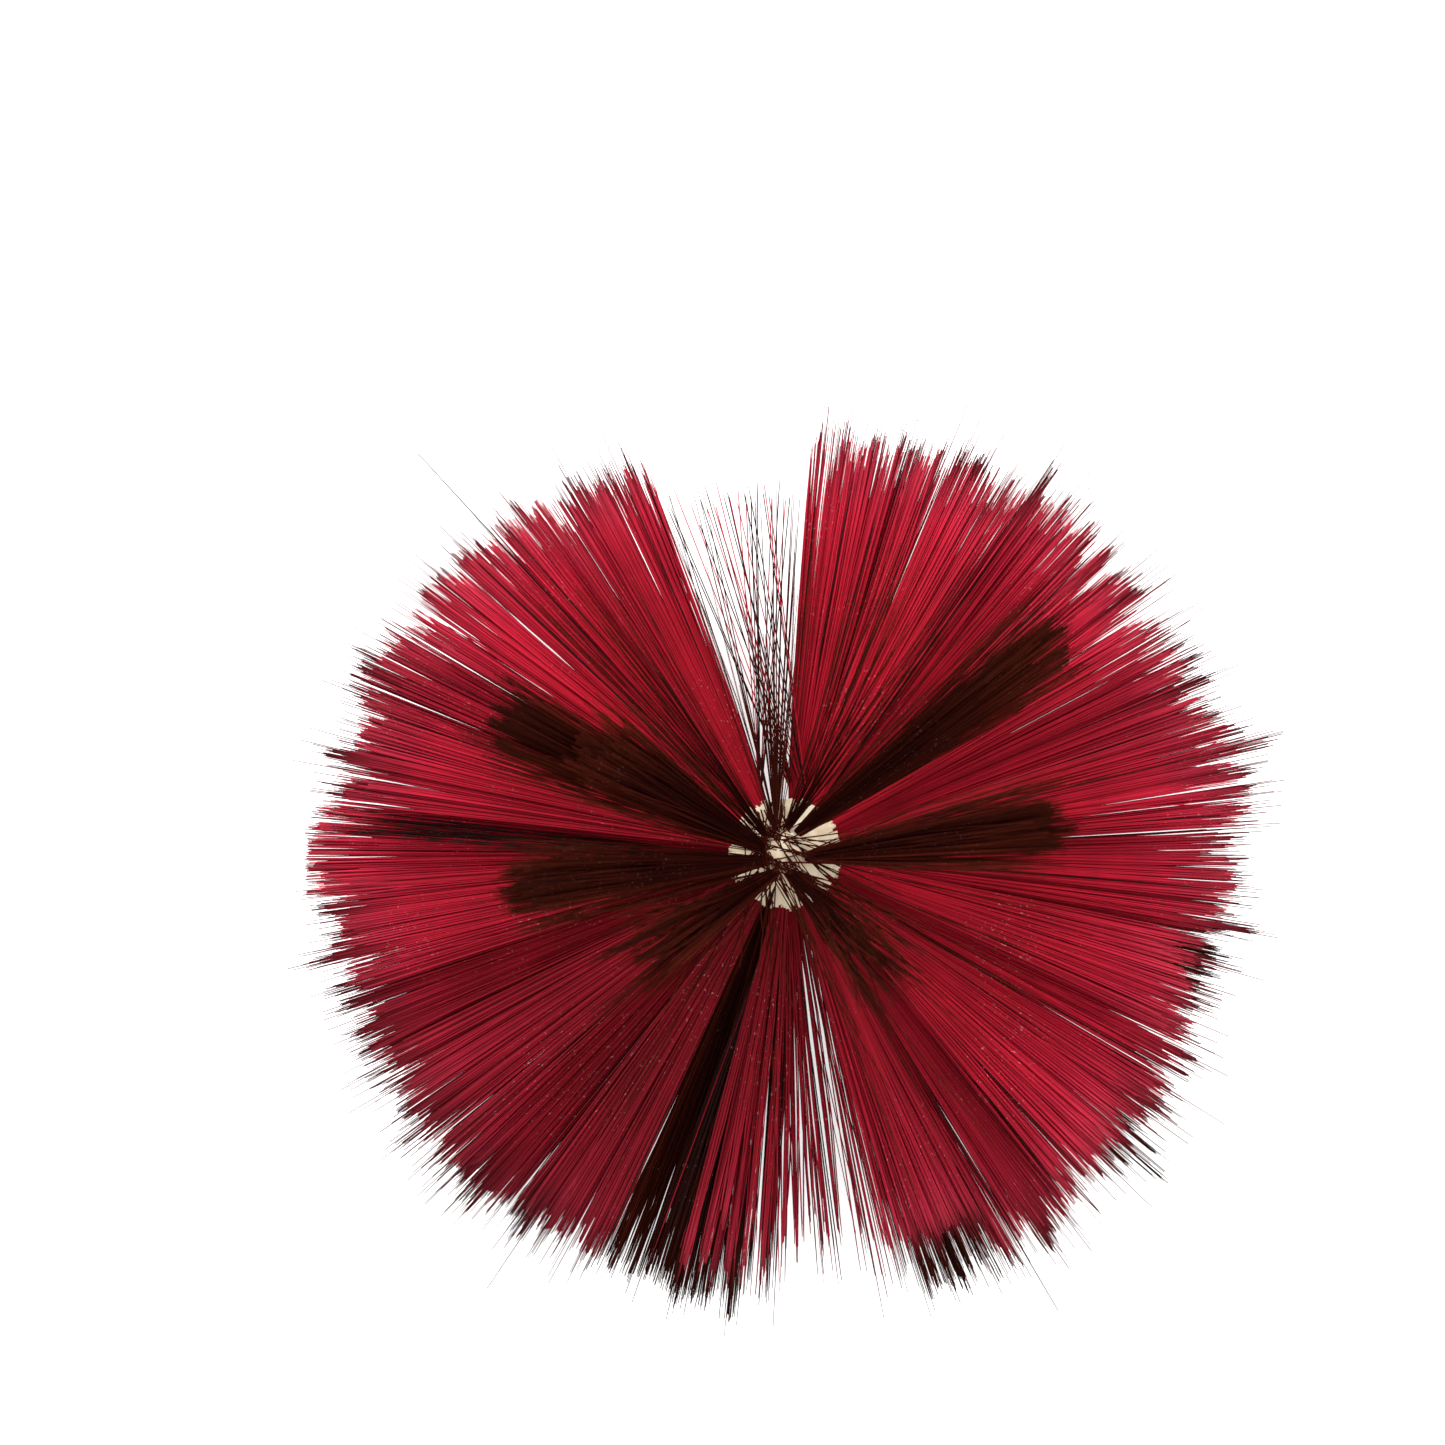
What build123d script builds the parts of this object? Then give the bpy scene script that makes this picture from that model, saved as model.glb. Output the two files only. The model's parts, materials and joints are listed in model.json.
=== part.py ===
from build123d import *
from collections import namedtuple
from math import radians, sin, tan
import os

# Cheer pom pom: a round rosette of stiff crimson and dark brown filament tufts on a
# dowel handle.  All lengths in millimetres, +Z up along the rosette's axis.
# Origin: centre of the flat on the underside of the grip dowel, straight below the hub.
#
# Stack from bottom to top, all on one M3 clamp bolt:
#   grip dowel - neck spacer - lower flange - core sleeve with three rings of taped tuft
#   roots around it, parted by two spacer discs - crown with angled sockets - washer -
#   lock nut - strips of tape over the top.
# Every tuft flexes where it leaves its clamped root, so each free tuft is its own solid.
# Angles are in degrees: azimuths anticlockwise from +X, tilts above the horizontal.

# ------------------------------------------------------------------ dimensions
# grip dowel, lies along X
GRIP_R = 11.0
GRIP_LENGTH = 112.0
GRIP_FLAT_HALF = 7.0        # half the width of the flat underneath
GRIP_AXIS_Z = (GRIP_R ** 2 - GRIP_FLAT_HALF ** 2) ** 0.5
GRIP_END_ROUND = 3.5
SEAT_R = 6.7                # spot-face on top of the dowel for the neck spacer
SEAT_Z = 17.5
GRIP_CUT_H = 20.0           # height of the cutters for the flat and the spot-face

# neck spacer, the fingers close round it
NECK_R = 6.5
NECK_TOP_Z = 50.0
NECK_CHAMFER = 0.5

# clamp bolt, M3 countersunk; its hole runs through the whole stack
BOLT_R = 1.5
BOLT_HOLE_R = 1.7
BOLT_HEAD_R = 2.8
BOLT_HEAD_Z = 0.6           # the head's face sits above the rest plane
BOLT_RIM_H = 0.8            # straight rim of the head, below its cone
BOLT_CONE_H = 1.3
BOLT_PAST_NUT = 0.8
DRIVER_LENGTH, DRIVER_WIDTH, DRIVER_DEPTH = 3.4, 0.7, 1.0    # arms of the cross recess
COUNTERBORE_R = BOLT_HEAD_R + 0.3
COUNTERBORE_H = 3.0
COUNTERSINK_H = 2.0         # cone above the counterbore

# hub stack
FLANGE_R = 15.5
FLANGE_H = 2.5
FLANGE_BEVEL_R, FLANGE_BEVEL_H = 1.6, 1.3    # bevel round the underside
SLEEVE_R = 9.5
DISC_R = 14.5
DISC_H = 0.8
DISC_CLEARANCE = 0.08       # between a disc's bore and the sleeve
LAYER_H = 5.4               # clear height of each ring of roots
LAYER_GAP = 0.06            # free play above and below a wrap
LAYER_PITCH = LAYER_H + DISC_H

LOWER_Z0 = NECK_TOP_Z + FLANGE_H    # bottoms of the three rings
MIDDLE_Z0 = LOWER_Z0 + LAYER_PITCH
UPPER_Z0 = MIDDLE_Z0 + LAYER_PITCH

# crown
CROWN_Z0 = UPPER_Z0 + LAYER_H
CROWN_BASE_R = 10.4
CROWN_TOP_R = 4.4
CROWN_SKIRT_H = 1.2
CROWN_H = 6.8
CROWN_TOP_Z = CROWN_Z0 + CROWN_H
SOCKET_R = 1.5
SOCKET_DEPTH = 2.6
SOCKET_OVERRUN = 4.0        # the socket cutter's length outside the mouth
SOCKET_AXIS_R = 7.1         # where a socket's axis meets the slope
SOCKET_SLOPE_SHARE = (CROWN_BASE_R - SOCKET_AXIS_R) / (CROWN_BASE_R - CROWN_TOP_R)
SOCKET_Z = CROWN_Z0 + CROWN_SKIRT_H + SOCKET_SLOPE_SHARE * (CROWN_H - CROWN_SKIRT_H)

# washer and nut, in a recess in the crown's top
NUT_RECESS_R = 3.6
NUT_RECESS_H = 4.2
WASHER_R, WASHER_H = 3.4, 0.5
WASHER_CLEARANCE = 0.15
NUT_ACROSS_FLATS, NUT_H = 5.5, 2.4
NUT_CLEARANCE = 0.05
RECESS_Z = CROWN_TOP_Z - NUT_RECESS_H
NUT_Z = RECESS_Z + WASHER_H
BOLT_TOP_Z = NUT_Z + NUT_H + BOLT_PAST_NUT

# strips of tape laid across each other over the crown
STRIP_LENGTH, STRIP_WIDTH, STRIP_T = 9.4, 3.8, 0.30
STRIP_GAP = 0.04            # below each strip
STRIP_TURNS = (-52.0, 12.0, 70.0)

# taped roots of the three flat rings: wedge-shaped, so that they close round the sleeve
ROOT_IN_R = 9.9
ROOT_OUT_R = 16.4
ROOT_IN_HALF = 1.85
ROOT_OUT_HALF = 3.2
WRAP_H = LAYER_H - 2 * LAYER_GAP
TAPE_T = 0.35
FIT = 0.04                  # glue line between tape and filaments
PLUG_SETBACK = 0.1          # from each open end of a wrap to its plug

# plugs in the crown's sockets
SOCKET_PLUG_CLEARANCE = 0.06
SOCKET_PLUG_FLOOR_GAP = 0.15
SOCKET_PLUG_PROUD = 0.05    # stands out of the mouth

# free tufts of the flat rings: each fills a sector seen from above
POM_RADIUS = 150.0          # axis to the tips of the crimson tufts, laid out straight
LOWER_RADIUS = 156.0        # the same for the dark tufts of the lower ring
HINGE_R = 19.5              # where the flat-ring tufts flex
NOSE_R = 2.6                # half the tuft's thickness where it flexes
FAN_ANGLE = radians(5.5)    # half the sector's angle
FAN_T = 9.0                 # thickness at the tip

# free tufts of the crown
CROWN_HINGE_OUT = 2.3       # from socket mouth to where a crown tuft flexes
CROWN_NOSE_R = 1.6
CROWN_NOSE_HALF = 1.7

# The flat rings, one tuft at each azimuth; z is the ring's mid height
Ring = namedtuple("Ring", "name z tilt tip_radius azimuths")
UPPER = Ring("upper", UPPER_Z0 + LAYER_H / 2, -4.0, POM_RADIUS,
             [-68.0, -41.6, -15.2, 11.2, 37.6, 64.0, 118.0,
              142.0, 166.0, 190.0, 214.0, 238.0, 265.0])
MIDDLE = Ring("middle", MIDDLE_Z0 + LAYER_H / 2, -10.0, POM_RADIUS,
              [-83.0, -54.8, -28.4, -2.0, 24.4, 50.8, 77.2,
               130.0, 154.0, 178.0, 202.0, 226.0])
LOWER = Ring("lower", LOWER_Z0 + LAYER_H / 2, -18.0, LOWER_RADIUS,
             [-109.0, -66.0, -37.0, -11.0, 20.0, 52.0, 130.0, 163.0, 197.0, 229.0])

# Crown tufts: azimuth of the socket, azimuth the tuft points in, tilt, length,
# half width at the tip, thickness at the tip
CROWN_TUFTS = [
    (55.0, 32.0, 43.0, 118.0, 9.5, 13.0),
    (85.0, 56.0, 58.0, 112.0, 9.5, 18.0),
    (113.0, 97.0, 50.0, 112.0, 9.5, 18.0),
    (141.0, 131.0, 49.0, 112.0, 9.5, 18.0),
    (170.0, 159.0, 53.0, 118.0, 10.5, 32.0),
    (207.0, 194.0, 54.0, 114.0, 9.5, 13.0),
    (247.0, 222.0, 62.0, 104.0, 9.5, 13.0),
    (282.0, 306.0, 64.0, 100.0, 9.5, 13.0),
    (346.0, 359.5, 54.0, 116.0, 9.5, 13.0),
]


# ------------------------------------------------------------------ helpers
def write(name, *shapes):
    """One file: a single solid, or a group of separate solids."""
    solids = [shape.solids()[0] for shape in shapes]
    shape = solids[0] if len(solids) == 1 else Compound(children=solids)
    export_step(shape, f"parts/{name}.step")


def rod(radius, z0, z1):
    return Pos(0, 0, (z0 + z1) / 2) * Cylinder(radius, z1 - z0)


def tube(r_out, r_in, z0, z1):
    return rod(r_out, z0, z1) - rod(r_in, z0, z1)


def cone(r_bottom, r_top, z0, height):
    return Pos(0, 0, z0 + height / 2) * Cone(r_bottom, r_top, height)


def turned(points):
    """A solid of revolution about Z from (radius, z) points."""
    face = make_face(Polyline(*[(r, 0, z) for r, z in points], close=True))
    return revolve(face, Axis.Z, 360)


def wedge(r0, r1, half0, half1, height):
    """A flat wedge along +X between two radii, centred on the XY plane."""
    face = make_face(Polyline((r0, -half0, 0), (r1, -half1, 0),
                              (r1, half1, 0), (r0, half0, 0), close=True))
    return extrude(face, amount=height / 2, dir=(0, 0, 1), both=True).solids()[0]


def socket_mouth(socket_az, az, tilt):
    """Where a crown socket's axis leaves the slope, with X along the axis, outwards."""
    return (Rot(Z=socket_az) * Pos(SOCKET_AXIS_R, 0, SOCKET_Z)
            * Rot(Z=az - socket_az) * Rot(Y=-tilt))


def in_sockets(shape):
    """Copies of a shape, its Z axis along each socket and its origin at the mouth."""
    return [socket_mouth(socket_az, az, tilt) * Rot(Y=90) * shape
            for socket_az, az, tilt, *_ in CROWN_TUFTS]


def round_ring(ring, shape):
    """Copies of a root shape at each azimuth of a flat ring."""
    return [Rot(Z=az) * Pos(0, 0, ring.z) * shape for az in ring.azimuths]


# ------------------------------------------------------------------ handle and bolt
def grip_dowel():
    dowel = Pos(0, 0, GRIP_AXIS_Z) * Rot(Y=90) * Cylinder(GRIP_R, GRIP_LENGTH)
    dowel = fillet(dowel.edges().filter_by(GeomType.CIRCLE), GRIP_END_ROUND)
    # flat underneath, then spot-face, bolt hole, counterbore and countersink
    dowel -= Pos(0, 0, -GRIP_CUT_H / 2) * Box(2 * GRIP_LENGTH, 4 * GRIP_R, GRIP_CUT_H)
    dowel -= rod(SEAT_R, SEAT_Z, SEAT_Z + GRIP_CUT_H)
    dowel -= rod(BOLT_HOLE_R, -15, 45)
    dowel -= rod(COUNTERBORE_R, 0, COUNTERBORE_H)
    dowel -= cone(COUNTERBORE_R, BOLT_HOLE_R, COUNTERBORE_H, COUNTERSINK_H)
    return dowel


def neck_spacer():
    neck = tube(NECK_R, BOLT_HOLE_R, SEAT_Z, NECK_TOP_Z)
    outer_rims = neck.edges().filter_by(GeomType.CIRCLE).sort_by(SortBy.RADIUS)[-2:]
    return chamfer(outer_rims, NECK_CHAMFER)


def clamp_bolt():
    rim_top = BOLT_HEAD_Z + BOLT_RIM_H
    bolt = rod(BOLT_R, BOLT_HEAD_Z, BOLT_TOP_Z)
    bolt += rod(BOLT_HEAD_R, BOLT_HEAD_Z, rim_top)
    bolt += cone(BOLT_HEAD_R, BOLT_R, rim_top, BOLT_CONE_H)
    recess = Pos(0, 0, BOLT_HEAD_Z + DRIVER_DEPTH / 2)
    bolt -= recess * Box(DRIVER_LENGTH, DRIVER_WIDTH, DRIVER_DEPTH)
    bolt -= recess * Box(DRIVER_WIDTH, DRIVER_LENGTH, DRIVER_DEPTH)
    return bolt


# ------------------------------------------------------------------ hub stack
def lower_flange():
    return turned([
        (BOLT_HOLE_R, NECK_TOP_Z),
        (FLANGE_R - FLANGE_BEVEL_R, NECK_TOP_Z),
        (FLANGE_R, NECK_TOP_Z + FLANGE_BEVEL_H),
        (FLANGE_R, LOWER_Z0),
        (BOLT_HOLE_R, LOWER_Z0),
    ])


def spacer_disc(top_z):
    return tube(DISC_R, SLEEVE_R + DISC_CLEARANCE, top_z - DISC_H, top_z)


def crown():
    body = turned([
        (BOLT_HOLE_R, CROWN_Z0),
        (CROWN_BASE_R, CROWN_Z0),
        (CROWN_BASE_R, CROWN_Z0 + CROWN_SKIRT_H),
        (CROWN_TOP_R, CROWN_TOP_Z),
        (NUT_RECESS_R, CROWN_TOP_Z),
        (NUT_RECESS_R, RECESS_Z),
        (BOLT_HOLE_R, RECESS_Z),
    ])
    for socket in in_sockets(rod(SOCKET_R, -SOCKET_DEPTH, SOCKET_OVERRUN)):
        body -= socket
    return body


def lock_nut():
    hexagon = RegularPolygon(NUT_ACROSS_FLATS / 2, 6, major_radius=False)
    nut = Pos(0, 0, NUT_Z) * extrude(hexagon, amount=NUT_H)
    return nut - rod(BOLT_R + NUT_CLEARANCE, NUT_Z - 1, NUT_Z + NUT_H + 1)


def tape_strip(index, turn):
    z = CROWN_TOP_Z + STRIP_GAP + STRIP_T / 2 + index * (STRIP_T + STRIP_GAP)
    return Rot(Z=turn) * Pos(0, 0, z) * Box(STRIP_LENGTH, STRIP_WIDTH, STRIP_T)


# ------------------------------------------------------------------ roots
def root_wrap():
    """The strip of tape wound once round a tuft's root: an open-ended sleeve."""
    outer = wedge(ROOT_IN_R, ROOT_OUT_R, ROOT_IN_HALF, ROOT_OUT_HALF, WRAP_H)
    # the cutter runs 1 mm past both ends, along the same taper
    slope = (ROOT_OUT_HALF - ROOT_IN_HALF) / (ROOT_OUT_R - ROOT_IN_R)
    inner = wedge(ROOT_IN_R - 1, ROOT_OUT_R + 1,
                  ROOT_IN_HALF - TAPE_T - slope, ROOT_OUT_HALF - TAPE_T + slope,
                  WRAP_H - 2 * TAPE_T)
    return (outer - inner).solids()[0]


def root_plug():
    """The bonded filament ends held inside a wrap."""
    inset = TAPE_T + FIT
    return wedge(ROOT_IN_R + PLUG_SETBACK, ROOT_OUT_R - PLUG_SETBACK,
                 ROOT_IN_HALF - inset, ROOT_OUT_HALF - inset, WRAP_H - 2 * inset)


def socket_plug():
    """The bonded filament ends held in a crown socket, along Z from the mouth."""
    return rod(SOCKET_R - SOCKET_PLUG_CLEARANCE,
               -SOCKET_DEPTH + SOCKET_PLUG_FLOOR_GAP, SOCKET_PLUG_PROUD)


# ------------------------------------------------------------------ free tufts
def tuft(length, nose_r, nose_half, fan_half, fan_t):
    """A free tuft along +X, flexing about the Y axis: a fan in plan with an arched tip,
    a slim wedge from the side, and a round nose centred on the flexing line."""
    reach = length - fan_half ** 2 / (2 * POM_RADIUS)    # where the arched tip starts
    plan = make_face([
        Line((-nose_r, nose_half, 0), (-nose_r, -nose_half, 0)),
        Line((-nose_r, -nose_half, 0), (reach, -fan_half, 0)),
        ThreePointArc((reach, -fan_half, 0), (length, 0, 0), (reach, fan_half, 0)),
        Line((reach, fan_half, 0), (-nose_r, nose_half, 0)),
    ])
    far = length + 5    # the side profile overruns the tip
    side = make_face([
        ThreePointArc((0, 0, nose_r), (-nose_r, 0, 0), (0, 0, -nose_r)),
        Line((0, 0, -nose_r), (far, 0, -fan_t / 2)),
        Line((far, 0, -fan_t / 2), (far, 0, fan_t / 2)),
        Line((far, 0, fan_t / 2), (0, 0, nose_r)),
    ])
    body = extrude(plan, amount=fan_t, dir=(0, 0, 1), both=True)
    slab = extrude(side, amount=fan_half + 5, dir=(0, 1, 0), both=True)
    return (body & slab).solids()[0]


def write_ring_tufts(ring):
    flat = tuft(ring.tip_radius - HINGE_R, NOSE_R, (HINGE_R - NOSE_R) * tan(FAN_ANGLE),
                ring.tip_radius * sin(FAN_ANGLE), FAN_T)
    for i, az in enumerate(ring.azimuths, 1):
        write(f"{ring.name}_tuft_{i:02d}",
              Rot(Z=az) * Pos(HINGE_R, 0, ring.z) * Rot(Y=-ring.tilt) * flat)


def write_crown_tufts():
    for i, (socket_az, az, tilt, length, tip_half, tip_t) in enumerate(CROWN_TUFTS, 1):
        hinge = socket_mouth(socket_az, az, tilt) * Pos(CROWN_HINGE_OUT, 0, 0)
        write(f"crown_tuft_{i:02d}",
              hinge * tuft(length, CROWN_NOSE_R, CROWN_NOSE_HALF, tip_half, tip_t))


# ------------------------------------------------------------------ build
os.makedirs("parts", exist_ok=True)

write("grip_dowel", grip_dowel())
write("neck_spacer", neck_spacer())
write("clamp_bolt", clamp_bolt())
write("lower_flange", lower_flange())
write("core_sleeve", tube(SLEEVE_R, BOLT_HOLE_R, LOWER_Z0, CROWN_Z0))
write("spacer_discs", spacer_disc(MIDDLE_Z0), spacer_disc(UPPER_Z0))
write("crown", crown())
write("clamp_washer", tube(WASHER_R, BOLT_R + WASHER_CLEARANCE, RECESS_Z, NUT_Z))
write("lock_nut", lock_nut())
write("centre_tape_strips", *[tape_strip(i, turn) for i, turn in enumerate(STRIP_TURNS)])

wrap = root_wrap()
plug = root_plug()
for ring in (UPPER, MIDDLE, LOWER):
    write(f"{ring.name}_tape_wraps", *round_ring(ring, wrap))
    write_ring_tufts(ring)
write("crimson_root_plugs", *round_ring(UPPER, plug), *round_ring(MIDDLE, plug))
write("dark_root_plugs", *round_ring(LOWER, plug), *in_sockets(socket_plug()))
write_crown_tufts()
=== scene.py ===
"""A round brush of filament tufts on a turned wooden grip.

+Z is up and the hub's axis is the Z axis.  A rosette of crimson tufts (the upper and middle rings)
stands out from the hub, with dark brown tufts below it and on the crown.  Tape is wound round the
roots and laid over the crown.  The rosette has a gap at +Y, through which dark strands show.
Azimuths are in degrees, anticlockwise from +X seen from above.  Lengths of the brush are in mm and
are scaled when a mesh is made; the stage, lights and camera are in metres.
"""
import json
import math
from collections import namedtuple
from functools import partial
import bpy
import numpy as np
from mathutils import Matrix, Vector


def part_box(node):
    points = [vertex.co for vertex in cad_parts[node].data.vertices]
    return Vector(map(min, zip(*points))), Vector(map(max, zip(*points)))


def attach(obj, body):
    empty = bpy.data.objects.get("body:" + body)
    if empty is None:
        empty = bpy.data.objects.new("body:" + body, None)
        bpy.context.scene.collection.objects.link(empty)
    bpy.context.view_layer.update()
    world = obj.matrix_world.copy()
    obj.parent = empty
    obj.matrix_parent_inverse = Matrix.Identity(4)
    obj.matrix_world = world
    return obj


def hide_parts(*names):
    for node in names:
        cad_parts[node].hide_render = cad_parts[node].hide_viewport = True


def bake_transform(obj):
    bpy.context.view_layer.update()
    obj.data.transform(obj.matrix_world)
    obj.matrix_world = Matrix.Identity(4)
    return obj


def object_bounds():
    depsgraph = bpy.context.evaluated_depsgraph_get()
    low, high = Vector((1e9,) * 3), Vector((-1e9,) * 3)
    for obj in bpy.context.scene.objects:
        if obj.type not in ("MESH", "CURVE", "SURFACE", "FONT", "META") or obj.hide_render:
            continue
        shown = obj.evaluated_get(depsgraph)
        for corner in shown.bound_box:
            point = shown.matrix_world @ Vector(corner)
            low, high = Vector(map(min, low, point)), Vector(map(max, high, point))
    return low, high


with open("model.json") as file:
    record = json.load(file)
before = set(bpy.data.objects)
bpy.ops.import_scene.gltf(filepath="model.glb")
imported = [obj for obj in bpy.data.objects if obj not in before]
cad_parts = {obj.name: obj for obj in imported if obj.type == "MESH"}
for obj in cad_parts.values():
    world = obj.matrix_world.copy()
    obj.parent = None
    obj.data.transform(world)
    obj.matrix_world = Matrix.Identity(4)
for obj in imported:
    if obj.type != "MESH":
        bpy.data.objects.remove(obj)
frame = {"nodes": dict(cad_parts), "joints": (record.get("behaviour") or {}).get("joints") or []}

cad_lo, cad_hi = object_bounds()
MM = 0.001
NODES = frame["nodes"]
JOINT = {joint["child"]: joint for joint in frame["joints"]}
FAMILY = {family: sorted(name for name in NODES if name.startswith(family + "_tuft_"))
          for family in ("upper", "middle", "lower", "crown")}

# how deep inside its hinge point a tuft's root has its mouth
RING_MOUTH = 2.6
CROWN_MOUTH = 2.3
# filament ends are trimmed near these limits on |x|, |y| and z
REACH_X, REACH_Y, REACH_Z = 161.0, 159.0, cad_hi[2] / MM + 9.0
# a warm value above 1.5 marks a filament as dark brown
BROWN = 2.0


# ---------------------------------------------------------------- mesh helpers
def seeded(name):
    return np.random.default_rng([sum((i + 1) * ord(c) for i, c in enumerate(name)), 0])


def unit(vectors):
    return vectors / np.linalg.norm(vectors, axis=-1, keepdims=True)


def mesh_object(name, verts, faces, material, attributes=None):
    """A smooth mesh: verts (n, 3) in mm, faces a list of (m, corners) index arrays."""
    mesh = bpy.data.meshes.new(name)
    mesh.vertices.add(len(verts))
    mesh.vertices.foreach_set("co", np.ascontiguousarray(verts * MM, np.float32).ravel())
    loops = np.concatenate([f.ravel() for f in faces]).astype(np.int32)
    totals = np.concatenate([np.full(len(f), f.shape[1]) for f in faces]).astype(np.int32)
    starts = np.concatenate([[0], np.cumsum(totals)[:-1]]).astype(np.int32)
    mesh.loops.add(len(loops))
    mesh.loops.foreach_set("vertex_index", loops)
    mesh.polygons.add(len(totals))
    mesh.polygons.foreach_set("loop_start", starts)
    mesh.polygons.foreach_set("loop_total", totals)
    mesh.polygons.foreach_set("use_smooth", np.full(len(totals), True))
    mesh.update(calc_edges=True)
    for key, values in (attributes or {}).items():
        attribute = mesh.attributes.new(key, "FLOAT", "POINT")
        attribute.data.foreach_set("value", np.ascontiguousarray(values, np.float32))
    mesh.validate()
    obj = bpy.data.objects.new(name, mesh)
    bpy.context.scene.collection.objects.link(obj)
    obj.data.materials.append(material)
    return obj


def hair_object(name, paths, radius, tint, warm, material, sides=3, lobe=1.0, dark=0.0):
    """Closed thin prisms along paths (n, rings, 3), with radius (n, rings)."""
    count, rings, _ = paths.shape
    tangent = np.empty_like(paths)
    tangent[:, 1:-1] = paths[:, 2:] - paths[:, :-2]
    tangent[:, 0] = paths[:, 1] - paths[:, 0]
    tangent[:, -1] = paths[:, -1] - paths[:, -2]
    tangent = unit(tangent)
    # one reference for a whole filament, so that it doesn't twist
    steep = np.abs(tangent[:, -1:, 2:]) > 0.95
    reference = np.where(steep, (1.0, 0.0, 0.0), (0.0, 0.0, 1.0))
    across = unit(np.cross(tangent, reference))
    other = np.cross(tangent, across)
    # each prism is turned by the golden angle from the one before
    turn = np.linspace(0, 2 * np.pi, sides, endpoint=False)
    angle = (turn + (np.arange(count) * 2.399963)[:, None, None])[..., None]
    ring = across[:, :, None, :] * np.cos(angle) + other[:, :, None, :] * np.sin(angle)
    verts = (paths[:, :, None, :] + ring * radius[:, :, None, None]).reshape(-1, 3)

    base = (np.arange(count) * rings * sides)[:, None, None]
    low = base + np.arange(rings - 1)[None, :, None] * sides
    high = low + sides
    j = np.arange(sides)
    after = (j + 1) % sides
    quads = np.stack([high + j, high + after, low + after, low + j], -1).reshape(-1, 4)
    first_cap = base[:, 0, :] + j
    last_cap = base[:, 0, :] + (rings - 1) * sides + j[::-1]

    steps = np.linalg.norm(np.diff(paths, axis=1), axis=-1)
    distance = np.concatenate([np.zeros((count, 1)), np.cumsum(steps, 1)], 1)
    attributes = {
        "along": np.repeat(distance / distance[:, -1:], sides),
        "tint": np.repeat(tint, rings * sides),
        "warm": np.repeat(warm, rings * sides),
        "lobe": np.full(count * rings * sides, lobe),
        "dark": np.repeat(np.broadcast_to(dark, (count, rings)).astype(float), sides),
    }
    return mesh_object(name, verts, [quads, first_cap, last_cap], material, attributes)


def fix_to_core(obj, node_name):
    """The object stands for a CAD piece that is fixed to the core."""
    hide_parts(node_name)
    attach(obj, "core")


# ---------------------------------------------------------------- filament paths
# distances along a filament from the mouth of its root; the close ones let it bend at the root,
# and the last is replaced by the filament's own length
STOPS = np.array([-5.5, 0.0, 4.0, 9.0, 16.0, 34.0, 68.0, 104.0, 1.0])
CROWN_STOPS = np.array([-2.6, 0.3, 3.0, 7.0, 12.0, 26.0, 52.0, 84.0, 1.0])
SHORT_STOPS = np.array([-2.6, 0.3, 3.0, 7.0, 12.0, 20.0, 28.0, 36.0, 1.0])


def rounded(u, amount):
    """How thick a slab-shaped section still is at the share u of its half width."""
    return np.sqrt(np.clip(1 - amount * u ** 4, 0.1, 1))


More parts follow.
